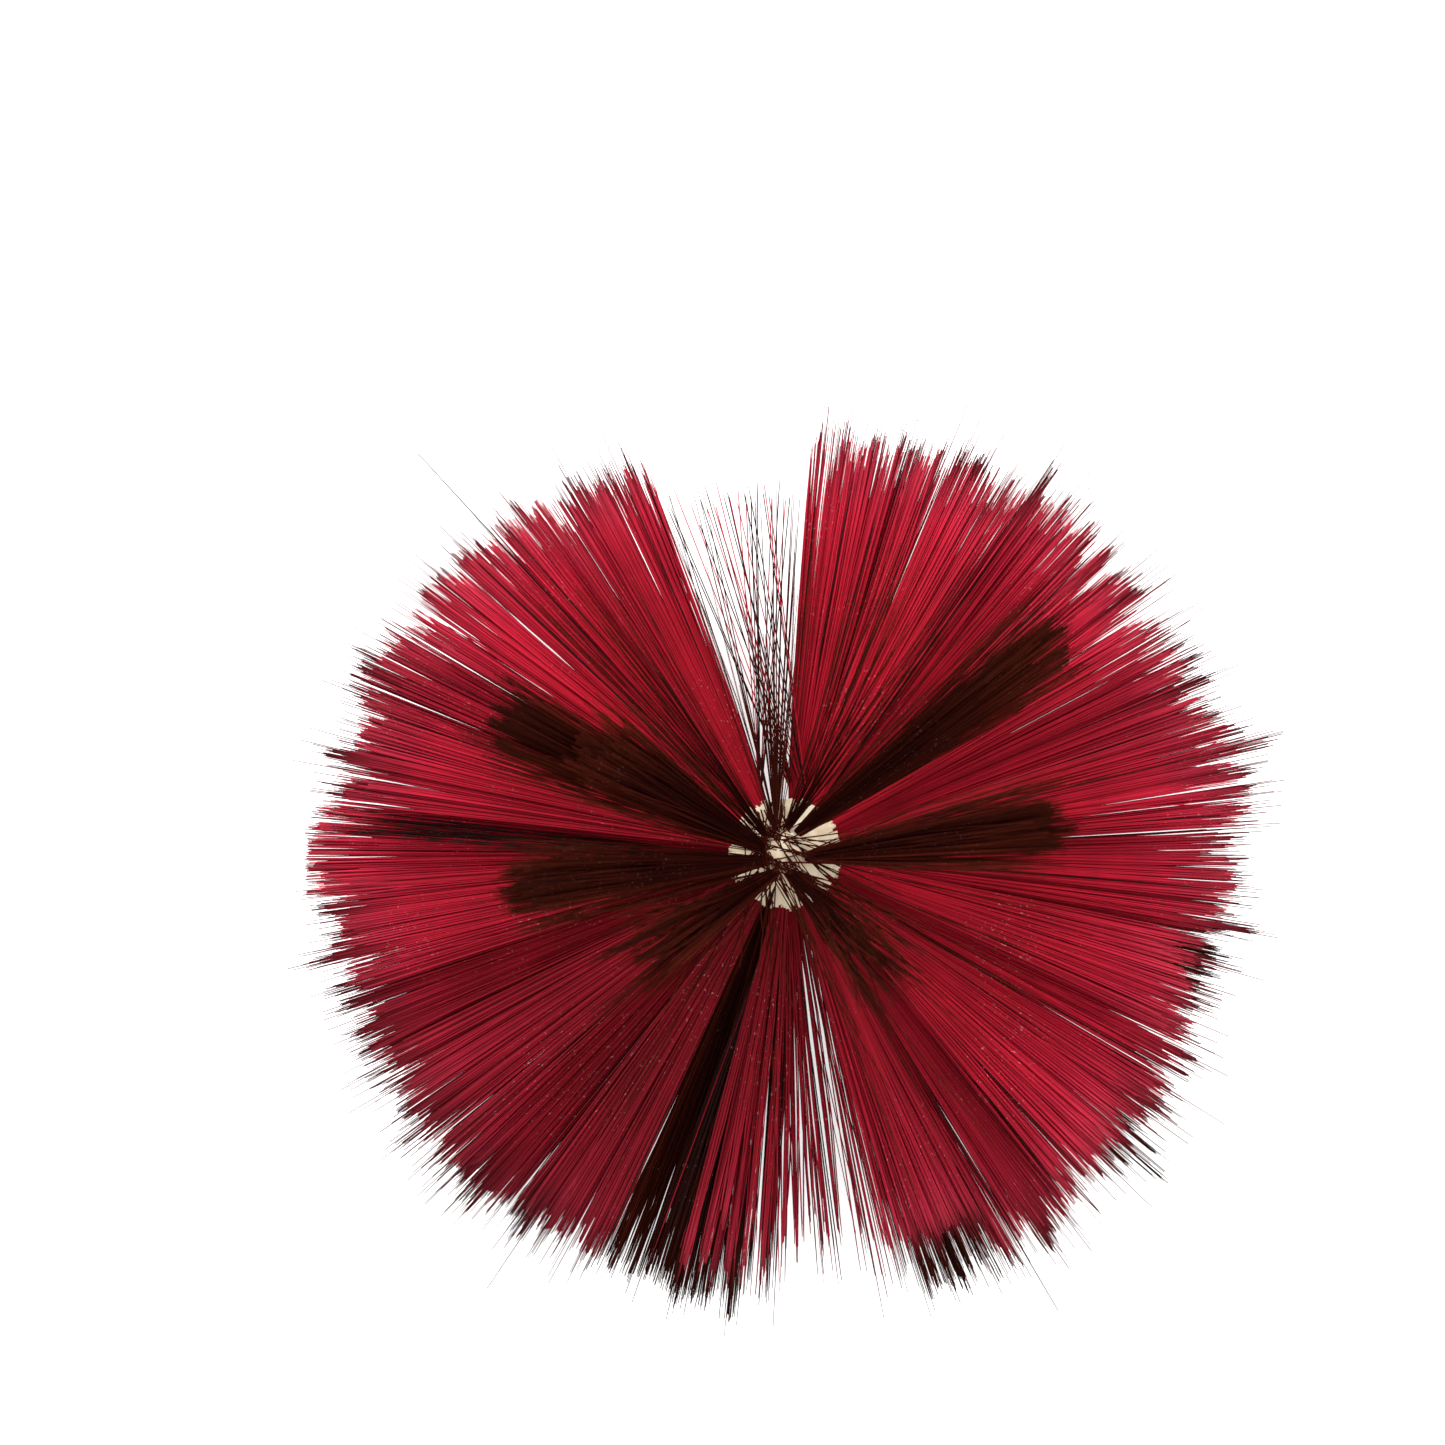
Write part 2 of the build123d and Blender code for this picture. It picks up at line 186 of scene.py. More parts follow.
def bundle(rng, count, tuft, root, tip, length, clumps, ragged, radius, noise, stray=0.03,
           droop=0.012, flare=1.08, tight=0.8, stops=STOPS, splay=1.0, stray_reach=3.5, soft=0.35,
           lean=0.0, open_side=0.0):
    """Paths, radii, tints and warmths of the filaments of one tuft.

    root, tip: half width and half height of the section at either end
    clumps, tight: about how many clumps, and how much of its spread a clump keeps at the tip
    ragged: unevenness of the cut; noise: sideways bend of single filaments, in mm
    stray, stray_reach: share of filaments that stand out past the cut, and how far
    droop: sag as a share of the length; flare: power of the widening along the tuft
    splay: spread of clump centres at the tip; lean: sideways shift of the tip, anticlockwise
    soft: thinning towards both edges; open_side: thinning towards the clockwise edge
    """
    # clump centres over the cross-section, on a jittered grid so that they cover it evenly
    columns = max(2, round(math.sqrt(clumps * 2.4)))
    rows = max(1, round(clumps / columns))
    centre_u, centre_v = np.meshgrid((np.arange(columns) + 0.5) / columns * 2 - 1,
                                     (np.arange(rows) + 0.5) / rows * 2 - 1)
    size = centre_u.size
    centre_u = (centre_u.ravel() + rng.uniform(-0.5, 0.5, size) / columns).clip(-1, 1)
    centre_v = (centre_v.ravel() + rng.uniform(-0.5, 0.5, size) / rows).clip(-1, 1)
    weight = 1.0 - soft * np.abs(centre_u) ** 2
    weight = weight * (1.0 - open_side * np.clip(0.35 - centre_u, 0, 1))
    clump = rng.choice(size, count, p=weight / weight.sum())
    # places in the section at the root and at the tip, as shares of the half sizes
    off_u = rng.normal(0, 0.62 / columns, count)
    off_v = rng.normal(0, 0.62 / rows, count)
    root_u = (centre_u[clump] + off_u).clip(-1.04, 1.04)
    root_v = (centre_v[clump] + off_v).clip(-1, 1) * rounded(root_u, 0.55)
    shift = rng.normal(0, 0.045, size)
    tip_u = (centre_u[clump] * splay + off_u * tight + shift[clump]
             + rng.normal(0, 0.022, count))
    tip_v = centre_v[clump] + off_v * tight + rng.normal(0, 0.05, count)
    tip_v = tip_v * rounded(np.clip(tip_u, -1, 1), 0.5)

    # each filament's length: uneven by clump, a little shorter at the edges
    clump_length = rng.normal(0, ragged, size)
    own = length * (1 + clump_length[clump] + rng.normal(0, ragged * 0.42, count)
                    - 0.03 * np.abs(tip_u) ** 3)
    far = rng.random(count) < stray
    own[far] += np.abs(rng.normal(0.0, stray_reach, far.sum()))
    short = rng.random(count) < 0.10
    own[short] *= 1 - np.abs(rng.normal(0.04, 0.05, short.sum()))
    distance = np.repeat(stops[None, :], count, 0)
    distance[:, -1] = own
    distance[:, -2] = np.minimum(distance[:, -2], own - 6)

    share = np.clip(distance / length, 0, None)
    fan = share ** flare
    y = (root_u * root[0])[:, None] + fan * (tip_u * tip[0] - root_u * root[0] + lean)[:, None]
    z = (root_v * root[1])[:, None] + fan * (tip_v * tip[1] - root_v * root[1])[:, None]
    bend_y = rng.normal(0, noise, count)
    bend_z = rng.normal(0, noise * 0.8, count)
    wave = np.sin(np.clip(share, 0, 1) * np.pi)
    y += wave * bend_y[:, None]
    z += wave * bend_z[:, None] - droop * length * share ** 2
    # inside the root the section is narrower
    inside = distance < 0
    y = np.where(inside, (root_u * root[0] * 0.85)[:, None], y)
    z = np.where(inside, (root_v * root[1] * 0.85)[:, None], z)
    paths = (tuft.mouth + distance[..., None] * tuft.out + y[..., None] * tuft.side
             + z[..., None] * tuft.up)

    radii = np.full(distance.shape, radius) * (1 + rng.normal(0, 0.08, count))[:, None]
    radii[:, -1] *= 0.55
    radii[far] *= 0.80
    clump_tint = rng.normal(0, 0.5, size)
    tint = (0.75 * clump_tint[clump] + rng.normal(0, 0.30, count)).clip(-1.2, 1.2)
    # warm rises towards the tuft's edges and on filaments that stand out past the cut; on the
    # crimson filaments the warm colour is a darker red, so there it is painted shade
    warm = np.clip(np.abs(tip_u) ** 3 * 0.8 + rng.normal(0, 0.12, count) + 0.7 * far, 0, 1)
    return paths, radii, tint, warm


def straight(tuft, ends, radius, warm, stops=STOPS):
    """Single filaments from a tuft's root straight to stated end points."""
    way = np.array(ends, float) - tuft.mouth
    count = len(way)
    own = np.linalg.norm(way, axis=1)[:, None]
    share = np.concatenate([stops[None, :-1] / own, np.ones((count, 1))], 1)
    paths = tuft.mouth + way[:, None, :] * share[..., None]
    radii = np.full(share.shape, radius)
    radii[:, -1] *= 0.5
    return paths, radii, np.zeros(count), np.full(count, warm)


# ---------------------------------------------------------------- materials
def grey(level):
    return (level, level, level)


class Shading:
    """A new material with a principled surface, and short ways to add nodes to it."""

    def __init__(self, name):
        self.material = bpy.data.materials.new(name)
        self.material.use_nodes = True
        self.tree = self.material.node_tree
        self.tree.nodes.clear()
        self.output = self.node("ShaderNodeOutputMaterial")
        self.surface = self.node("ShaderNodeBsdfPrincipled")
        self.feed(self.output, {0: self.surface.outputs[0]})

    def node(self, kind, **settings):
        made = self.tree.nodes.new(kind)
        for key, value in settings.items():
            setattr(made, key, value)
        return made

    def feed(self, node, values):
        """Link or set a node's inputs; colours are given without alpha."""
        for key, value in values.items():
            socket = node.inputs[key]
            if isinstance(value, bpy.types.NodeSocket):
                self.tree.links.new(value, socket)
            elif socket.type == "RGBA":
                socket.default_value = (*value, 1)
            else:
                socket.default_value = value

    def ramp(self, stops, factor):
        """stops: (position, colour)."""
        made = self.node("ShaderNodeValToRGB")
        elements = made.color_ramp.elements
        while len(elements) > 1:
            elements.remove(elements[-1])
        elements[0].position, elements[0].color = stops[0][0], (*stops[0][1], 1)
        for position, color in stops[1:]:
            elements.new(position).color = (*color, 1)
        self.feed(made, {0: factor})
        return made.outputs[0]

    def attribute(self, name):
        return self.node("ShaderNodeAttribute", attribute_name=name).outputs["Fac"]

    def math(self, operation, a, b=0.0, c=0.0, clamp=False):
        made = self.node("ShaderNodeMath", operation=operation, use_clamp=clamp)
        self.feed(made, {0: a, 1: b, 2: c})
        return made.outputs[0]

    def mix(self, factor, a, b, mode="MIX"):
        made = self.node("ShaderNodeMix", data_type="RGBA", blend_type=mode, clamp_factor=True)
        self.feed(made, {0: factor, 6: a, 7: b})
        return made.outputs[2]

    def scaled(self, color, channels):
        """A colour multiplied by three channel values."""
        combined = self.node("ShaderNodeCombineColor")
        for i, value in enumerate(channels):
            self.feed(combined, {i: value})
        return self.mix(1.0, color, combined.outputs[0], "MULTIPLY")

    def noise(self, scale, detail, rough, vector):
        made = self.node("ShaderNodeTexNoise")
        self.feed(made, {"Scale": scale, "Detail": detail, "Roughness": rough, "Vector": vector})
        return made.outputs["Fac"]

    def wave(self, scale, distortion, detail, vector, **settings):
        made = self.node("ShaderNodeTexWave", **settings)
        self.feed(made, {"Scale": scale, "Distortion": distortion, "Detail": detail,
                         "Vector": vector})
        return made.outputs["Fac"]

    def coords(self, scale=(1, 1, 1)):
        source = self.node("ShaderNodeTexCoord")
        mapping = self.node("ShaderNodeMapping")
        self.feed(mapping, {"Scale": scale, 0: source.outputs["Object"]})
        return mapping.outputs[0]

    def bump(self, height, strength, distance):
        made = self.node("ShaderNodeBump")
        self.feed(made, {"Strength": strength, "Distance": distance, "Height": height})
        self.feed(self.surface, {"Normal": made.outputs[0]})

    def mix_surface(self, factor, other):
        """The output becomes the principled surface mixed with another shader."""
        made = self.node("ShaderNodeMixShader")
        self.feed(made, {0: factor, 1: self.surface.outputs[0], 2: other})
        self.feed(self.output, {0: made.outputs[0]})


def filament_material(name, stops, warm_color, warm_share, rough, spec, specks, spread, glow,
                      even=1.2):
    """stops: colours from root to tip; specks: strength of the pale specks; spread: of the tints;
    glow: translucent share; even: how far normals are turned towards the viewer."""
    sh = Shading(name)
    base = sh.ramp(stops, sh.attribute("along"))
    # each filament is a little lighter or darker than its neighbours; each tuft is also scaled by
    # its lobe brightness, which on the crimson rosette is painted light and shade
    lift = sh.math("MULTIPLY_ADD", sh.attribute("tint"), spread, 1.0)
    color = sh.scaled(base, [lift] * 3)
    color = sh.scaled(color, (sh.attribute("lobe") for _ in range(3)))
    warmth = sh.math("MULTIPLY", sh.attribute("warm"), warm_share)
    color = sh.mix(warmth, color, warm_color)
    # near black where dark is set: the dark brown filaments' own colour, and painted shade on
    # filaments at tuft edges and on ends that stand out
    color = sh.mix(sh.attribute("dark"), color, (0.020, 0.0028, 0.0015))
    where = sh.coords()
    soft = sh.noise(scale=38.0, detail=3.0, rough=0.6, vector=where)
    shade = sh.ramp([(0.3, grey(0.80)), (0.7, grey(1.12))], soft)
    color = sh.mix(1.0, color, shade, "MULTIPLY")
    # tiny pale specks gathered in patches
    fine = sh.noise(scale=900.0, detail=1.0, rough=0.5, vector=where)
    patch = sh.noise(scale=26.0, detail=2.0, rough=0.5, vector=where)
    pale_specks = sh.math("MULTIPLY",
                   sh.math("GREATER_THAN", fine, 0.70),
                   sh.math("SUBTRACT", patch, 0.46, clamp=True))
    pale_specks = sh.math("MULTIPLY", pale_specks, 6.0, clamp=True)
    color = sh.mix(sh.math("MULTIPLY", pale_specks, specks), color, (0.85, 0.50, 0.46))
    roughness = sh.math("MULTIPLY_ADD", soft, 0.16, rough - 0.08)
    sh.feed(sh.surface, {"Base Color": color, "Roughness": roughness,
                         "Specular IOR Level": spec})
    # thousands of fine round filaments: their shading is evened out towards the viewer
    geometry = sh.node("ShaderNodeNewGeometry")
    toward = sh.node("ShaderNodeVectorMath", operation="SCALE")
    sh.feed(toward, {"Scale": even, 0: geometry.outputs["Incoming"]})
    added = sh.node("ShaderNodeVectorMath", operation="ADD")
    sh.feed(added, {0: geometry.outputs["Normal"], 1: toward.outputs[0]})
    normal = sh.node("ShaderNodeVectorMath", operation="NORMALIZE")
    sh.feed(normal, {0: added.outputs[0]})
    sh.feed(sh.surface, {"Normal": normal.outputs[0]})
    translucent = sh.node("ShaderNodeBsdfTranslucent")
    sh.feed(translucent, {0: color})
    sh.mix_surface(glow, translucent.outputs[0])
    return sh.material


def tape_material():
    """Cream crepe paper with faint stains."""
    sh = Shading("masking_tape_crepe")
    where = sh.coords()
    tone = sh.noise(scale=160.0, detail=4.0, rough=0.6, vector=where)
    color = sh.ramp([(0.25, (0.86, 0.62, 0.41)), (0.5, (0.96, 0.78, 0.55)),
                     (0.75, (0.99, 0.90, 0.72))], tone)
    stain = sh.noise(scale=420.0, detail=3.0, rough=0.55, vector=where)
    stained = sh.ramp([(0.60, grey(0)), (0.76, grey(0.28))], stain)
    color = sh.mix(stained, color, (0.50, 0.20, 0.13))
    sh.feed(sh.surface, {"Base Color": color, "Roughness": 0.62, "Specular IOR Level": 0.3,
                         "Sheen Weight": 0.15})
    crepe = sh.wave(scale=1500.0, distortion=9.0, detail=3.0, vector=where,
                    wave_type="BANDS", bands_direction="DIAGONAL")
    height = sh.math("MULTIPLY_ADD", tone, 0.7, crepe)
    sh.bump(height, strength=0.5, distance=0.00012)
    return sh.material


def wood_material():
    """Brown wood with rings round X and dark flecks drawn out along X."""
    sh = Shading("turned_beech")
    where = sh.coords((6.0, 60.0, 60.0))
    warp = sh.noise(scale=3.0, detail=3.0, rough=0.55, vector=where)
    ring = sh.wave(scale=2.6, distortion=6.0, detail=3.0, vector=where,
                   wave_type="RINGS", rings_direction="X")
    grain = sh.math("MULTIPLY_ADD", warp, 0.5, sh.math("MULTIPLY", ring, 0.6))
    color = sh.ramp([(0.15, (0.36, 0.19, 0.085)), (0.5, (0.55, 0.33, 0.16)),
                     (0.9, (0.68, 0.45, 0.25))], grain)
    fleck = sh.noise(scale=40.0, detail=2.0, rough=0.6, vector=sh.coords((4.0, 240.0, 240.0)))
    flecked = sh.ramp([(0.60, grey(0)), (0.70, grey(0.5))], fleck)
    color = sh.mix(flecked, color, (0.24, 0.11, 0.05))
    sh.feed(sh.surface, {"Base Color": color, "Roughness": 0.46, "Coat Weight": 0.18,
                         "Coat Roughness": 0.3})
    sh.bump(grain, strength=0.35, distance=0.0002)
    return sh.material


def steel_material():
    sh = Shading("zinc_plated_steel")
    grain = sh.noise(scale=700.0, detail=3.0, rough=0.6, vector=sh.coords((1, 1, 30)))
    color = sh.ramp([(0.3, (0.42, 0.42, 0.43)), (0.7, (0.66, 0.66, 0.68))], grain)
    sh.feed(sh.surface, {"Base Color": color, "Metallic": 1.0,
                         "Roughness": sh.math("MULTIPLY_ADD", grain, 0.25, 0.22)})
    sh.bump(grain, strength=0.3, distance=0.00005)
    return sh.material


def plastic_material():
    sh = Shading("moulded_black_plastic")
    where = sh.coords()
    grain = sh.noise(scale=1400.0, detail=4.0, rough=0.65, vector=where)
    soft = sh.noise(scale=60.0, detail=2.0, rough=0.5, vector=where)
    color = sh.ramp([(0.3, (0.012, 0.010, 0.010)), (0.7, (0.030, 0.026, 0.026))], soft)
    sh.feed(sh.surface, {"Base Color": color,
                         "Roughness": sh.math("MULTIPLY_ADD", grain, 0.2, 0.38)})
    sh.bump(grain, strength=0.35, distance=0.00008)
    return sh.material


def floor_material():
    sh = Shading("pale_floor")
    sh.feed(sh.surface, {"Base Color": grey(0.92), "Roughness": 0.9,
                         "Emission Color": grey(1), "Emission Strength": 0.62})
    # seen from underneath, the floor is clear
    geometry = sh.node("ShaderNodeNewGeometry")
    clear = sh.node("ShaderNodeBsdfTransparent")
    sh.mix_surface(geometry.outputs["Backfacing"], clear.outputs[0])
    return sh.material


# the crimson is drawn a little darker just past the root, painted shade, and grows lighter and
# pinker towards the tips, painted light shining through the tips
CRIMSON = filament_material(
    "crimson_filament",
    stops=[(0.0, (0.53, 0.0064, 0.0225)), (0.16, (0.505, 0.0062, 0.0215)),
           (0.40, (0.53, 0.0072, 0.0255)), (0.55, (0.555, 0.0085, 0.0275)),
           (0.75, (0.62, 0.0125, 0.039)), (0.85, (0.69, 0.018, 0.052)),
           (0.93, (0.79, 0.032, 0.076)), (1.0, (0.86, 0.052, 0.098))],
    warm_color=(0.22, 0.005, 0.012), warm_share=0.40, rough=0.60, spec=0.09, specks=0.32,
    spread=0.07, glow=0.10, even=1.9)
DARK = filament_material(
    "dark_brown_filament",
    stops=[(0.0, (0.022, 0.0026, 0.0014)), (0.5, (0.027, 0.0028, 0.0014)),
           (1.0, (0.058, 0.0080, 0.0034))],
    warm_color=(0.110, 0.013, 0.006), warm_share=0.80, rough=0.65, spec=0.03, specks=0.10,
    spread=0.35, glow=0.06)
TAPE = tape_material()
WOOD = wood_material()
STEEL = steel_material()
PLASTIC = plastic_material()

# CAD pieces that keep their own mesh: names, material, slot
DRESSED = [
    (("grip_dowel",), WOOD, "grip_wood"),
    (("neck_spacer", "lower_flange", "core_sleeve", "spacer_discs"), PLASTIC, "hub_plastic"),
    (("clamp_bolt", "clamp_washer", "lock_nut"), STEEL, "fastener_steel"),
    (("crown",), TAPE, "masking_tape"),
    (("crimson_root_plugs",), CRIMSON, "crimson_filament"),
]


def dress(name, material):
    obj = NODES[name]
    obj.data.materials.clear()
    obj.data.materials.append(material)
    for polygon in obj.data.polygons:
        polygon.material_index = 0


for names, material, slot in DRESSED:
    for name in names:
        dress(name, material)


# ---------------------------------------------------------------- tufts
# out, side (anticlockwise) and up are the tuft's own directions
Tuft = namedtuple("Tuft", "hinge out side up mouth length azimuth")


def hinge_point(name):
    return np.array(JOINT[name]["pos_m"]) / MM


def azimuth_of(point):
    return math.degrees(math.atan2(point[1], point[0]))


def tuft_frame(name, mouth_depth):
    """Where a CAD tuft starts, how it lies and how long it is."""
    hinge = hinge_point(name)
    side = -np.array(JOINT[name]["axis"], float)
    mesh = NODES[name].data
    points = np.empty(len(mesh.vertices) * 3)
    mesh.vertices.foreach_get("co", points)
    arms = points.reshape(-1, 3) / MM - hinge
    reach = np.linalg.norm(arms, axis=1)
    out = arms[reach > 0.93 * reach.max()].mean(0)
    out -= side * (out @ side)
    out = out / np.linalg.norm(out)
    return Tuft(hinge, out, side, np.cross(out, side), hinge - out * mouth_depth,
                float((arms @ out).max()) + mouth_depth, azimuth_of(hinge))


def add_tuft(name, parts, material, lobe=1.0, streaks=0.0):
    """One mesh from a list of path sets; it stands for the CAD tuft and bends out of its root.

    lobe: brightness of the whole tuft, on the crimson tufts painted light and shade; streaks:
    share of filaments drawn near black among the others, painted shade at the tuft's edges
    """
    paths, radii, tint, warm = (np.concatenate(group) for group in zip(*parts))
    # the longest loose ends are trimmed
    end, before = paths[:, -1], paths[:, -2]
    over = np.maximum.reduce([np.abs(end[:, 0]) / REACH_X, np.abs(end[:, 1]) / REACH_Y,
                              end[:, 2] / REACH_Z])
    cut = np.clip(1 - (over - 1) * 3.2, 0.1, 1.0)[:, None]
    paths[:, -1] = before + (end - before) * cut
    # filaments marked brown get the near-black colour as their own; a few more, most at a tuft's
    # edges, get it as painted shade for the slits between tufts
    chance = np.random.default_rng([len(paths), 7]).random(len(paths))
    dark = (chance < streaks * (0.4 + 2.4 * np.clip(warm, 0, 1))) | (warm > 1.5)
    dark = np.repeat(dark.astype(float)[:, None], paths.shape[1], 1)
    # painted shade: the ends that stand out past the others are drawn darker
    span = np.linalg.norm(paths[:, -1] - paths[:, 1], axis=1)
    excess = np.clip((span / np.median(span) - 1.008) / 0.03, 0, 1)
    dark[:, -1] = np.maximum(dark[:, -1], 0.85 * excess)
    obj = hair_object(name + "_filaments", paths, radii, tint, np.clip(warm, 0, 1), material,
                      lobe=lobe, dark=dark)
    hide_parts(name)
    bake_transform(obj)


# ---------------------------------------------------------------- crimson rosette
# painted light and shade: each stretch of the rosette is drawn brighter on the +Y and -X side,
# towards the key light, and darker towards -Y; azimuth, share
PAINTED_LIGHT_BY_AZIMUTH = [
    (-180, 1.16), (-165, 0.73), (-150, 0.60), (-135, 0.63), (-120, 0.40), (-105, 0.43),
    (-90, 0.60), (-75, 0.61), (-60, 0.76), (-45, 0.81), (-30, 1.08), (-15, 0.90),
    (0, 0.98), (15, 0.89), (30, 1.01), (45, 1.17), (60, 0.96), (75, 1.24),
    (105, 0.80), (120, 0.97), (135, 1.22), (150, 0.84), (165, 0.90), (180, 1.16),
]
# how far each crimson tuft reaches: azimuth, share of its CAD length
RIM = [
    (-170.0, 0.971), (-158.0, 1.0), (-146.0, 0.942), (-134.0, 0.985), (-122.0, 0.892),
    (-95.0, 0.857), (-83.0, 0.760), (-68.0, 0.817), (-54.8, 0.957), (-41.6, 0.892),
    (-28.4, 0.942), (-15.2, 0.870), (-2.0, 1.0), (11.2, 0.985), (24.4, 1.016),
    (37.6, 0.94), (50.8, 1.032), (64.0, 0.954), (77.2, 1.0), (118.0, 0.908),
    (130.0, 1.016), (142.0, 0.955), (154.0, 1.056), (166.0, 0.971), (178.0, 1.061),
]
# the two tufts at the -Y edge are thin and loose, by azimuth: the one on the -X side is
# bunched, the one on the +X side is a handful of separate wisps
THIN = {
    -95: dict(count=100, tip=(14.0, 5.5), clumps=15, tight=0.30, soft=0.1, lean=-8.5),
    -83: dict(count=62, tip=(12.5, 5.5), clumps=13, tight=0.22, soft=-0.3, lean=-8.0),
}
# leaning tufts leave the slits through which the dark tier shows, and narrow the gap at +Y
# azimuth: lean, half width at the tip (None: drawn like the others)
LEANING = {
    -68: (-3.0, None), 77: (3.0, None), 118: (-2.6, None), -2: (-0.5, 16.6),
    -15: (-5.0, 16.0), -122: (2.4, 15.4), -134: (-4.0, 15.2),
}
# single dark filaments far from the rest: end point, radius
LONE = {
    "middle_tuft_08": ((-124.0, 137.0, 56.0), 0.34),
    "middle_tuft_02": ((85.0, -141.0, 50.0), 0.28),
    "upper_tuft_04": ((155.0, 33.0, 60.0), 0.24),
}
# thin filaments spread over the opening at -Y, on an arc round the hub
# azimuth of the tuft: lowest x, highest x, crimson ones, brown ones
OPENING = {-95: (-43, -5, 10, 64), -83: (-10, 20, 9, 8), -68: (20, 46, 9, 7)}
OPENING_RADIUS = 131.0
# filaments that cross each other on the +Y side of the hub: lowest x, highest x of their ends
CROSSING = {"upper_tuft_06": (-30, -4), "middle_tuft_07": (-42, -12), "upper_tuft_07": (-16, 7)}
# tufts with a few dark filaments that lie apart, pointing to -X
APART = ("middle_tuft_10", "upper_tuft_10")


def between(x, table):
    return float(np.interp(x, *zip(*table)))


def full_tuft(rng, tuft, place, length):
    """One of the full crimson tufts; place is its rounded azimuth."""
    azimuth = tuft.azimuth
    drawn = rng.uniform(17.6, 19.2) if abs(azimuth) < 90 else rng.uniform(16.2, 17.8)
    lean, half_width = LEANING.get(place, (0.0, None))
    return bundle(rng, 350, tuft, root=(2.35, 2.0), tip=(half_width or drawn, 3.6),
                  length=length, clumps=24, ragged=0.033, radius=0.30, noise=0.35,
                  tight=0.86 if -60 < azimuth < 32 else 1.0, droop=rng.normal(0.010, 0.006),
                  stray=0.20, stray_reach=7.0, lean=lean,
                  flare=0.93 if place in (77, 118) else 1.08,
                  open_side=0.72 if place == -68 else 0.0)


def single_filaments(rng, name, tuft, place):
    """The filaments of a crimson tuft that go to stated places."""
    parts = []
    if name in LONE:
        end, radius = LONE[name]
        parts.append(straight(tuft, [end], radius, BROWN))
    if place in OPENING:
        low_x, high_x, crimson, brown = OPENING[place]
        for warm, count in ((0.7, crimson), (BROWN, brown)):
            ends = [(x, -math.sqrt(max(OPENING_RADIUS ** 2 - x * x, 1)) + rng.normal(0, 6),
                     46 + rng.normal(0, 4)) for x in rng.uniform(low_x, high_x, count)]
            parts.append(straight(tuft, ends, 0.25, warm))
    if name in CROSSING:
        for warm in (0.5, BROWN):
            ends = [(x, 120 + rng.normal(0, 5), 60 + rng.normal(0, 5))
                    for x in rng.uniform(*CROSSING[name], 5)]
            parts.append(straight(tuft, ends, 0.21, warm))
    if name in APART:
        ends = [(-148 + rng.normal(0, 5), y, 50 + rng.normal(0, 2))
                for y in rng.uniform(8, 17, 8)]
        parts.append(straight(tuft, ends, 0.22, BROWN))
    return parts


def crimson_tuft(name):
    tuft = tuft_frame(name, RING_MOUTH)
    place = round(tuft.azimuth)
    rng = seeded(name)
    length = tuft.length * between(tuft.azimuth, RIM) * (1 + rng.normal(0, 0.004))
    if place in THIN:
        body = bundle(rng, tuft=tuft, root=(2.35, 2.0), length=length, ragged=0.055,
                      radius=0.29, noise=0.8, stray=0.18, stray_reach=7.0, **THIN[place])
    else:
        body = full_tuft(rng, tuft, place, length)
    # a few loose filaments that leave the tuft
    loose = bundle(rng, 9, tuft, root=(2.2, 1.8), tip=(23.0, 8.0), length=length * 1.03,
                   clumps=9, ragged=0.035, radius=0.19, noise=2.0, splay=1.1)
    parts = [body, loose] + single_filaments(rng, name, tuft, place)
    # painted light and shade: the tuft is drawn brighter or darker according to its azimuth
    add_tuft(name, parts, CRIMSON, streaks=0.018,
             lobe=between(tuft.azimuth, PAINTED_LIGHT_BY_AZIMUTH) * (1 + rng.normal(0, 0.03)))


for name in FAMILY["upper"] + FAMILY["middle"]:
    crimson_tuft(name)


# ---------------------------------------------------------------- dark tufts below
def lower_tuft(name):
    tuft = tuft_frame(name, RING_MOUTH)
    rng = seeded(name)
    # one tuft is broader and fuller than the others
    broad = abs(tuft.azimuth + 109) < 2
    count, half_width, shorter, lean = (400, 27.0, 4.5, 5.0) if broad else (200, 15.0, 2.5, 0.0)
    length = tuft.length * (1 + rng.normal(0, 0.004)) - shorter
    parts = [bundle(rng, count, tuft, root=(2.4, 2.0), tip=(half_width, 5.0), length=length,
                    clumps=24, ragged=0.026, radius=0.28, noise=0.6, stray=0.14,
                    stray_reach=5.0, lean=lean),
             bundle(rng, 14, tuft, root=(2.2, 1.8), tip=(half_width + 7.0, 8.0), length=length,
                    clumps=9, ragged=0.03, radius=0.17, noise=2.0, splay=1.1)]
    add_tuft(name, parts, DARK, lobe=0.8)


for name in FAMILY["lower"]:
    lower_tuft(name)


# ---------------------------------------------------------------- crown tufts
crown_bundle = partial(bundle, stops=CROWN_STOPS)

# thin, widely spread crown tufts
SPARSE = {
    "crown_tuft_02": dict(count=32, root=(1.1, 1.1), tip=(17.0, 22.0), noise=1.2),
    "crown_tuft_04": dict(count=34, root=(1.2, 1.2), tip=(15.0, 22.0), noise=1.0),
}
# looser crown tufts that let the crimson below show through: filaments in the core
LOOSE = {"crown_tuft_07": 84, "crown_tuft_08": 58}
# dense crown tufts that were cut shorter: share of the CAD length
CROWN_CUT = {"crown_tuft_01": 0.975, "crown_tuft_09": 0.95}


def tipped(tuft, degrees):
    """The same tuft turned upwards about its sideways direction."""
    c, s = math.cos(math.radians(degrees)), math.sin(math.radians(degrees))
    return tuft._replace(out=tuft.out * c + tuft.up * s, up=tuft.up * c - tuft.out * s)


def dense(rng, count, tuft, length, half_width=9.0, half_height=6.4):
    """A close core cut square, and a looser fringe round it."""
    return [crown_bundle(rng, int(count * 0.70), tuft, root=(1.25, 1.2),
                         tip=(half_width * 0.84, half_height * 0.9), length=length, clumps=12,
                         ragged=0.022, radius=0.27, noise=0.4, tight=1.0, flare=1.0, droop=0.0,
                         soft=0.5, stray=0.02),
            crown_bundle(rng, int(count * 0.30), tuft, root=(1.3, 1.3),
                         tip=(half_width * 1.5, half_height * 1.5), length=length * 0.985,
                         clumps=11, ragged=0.05, radius=0.19, noise=1.3, droop=0.0, soft=-0.4,
                         flare=1.0, stray=0.12)]


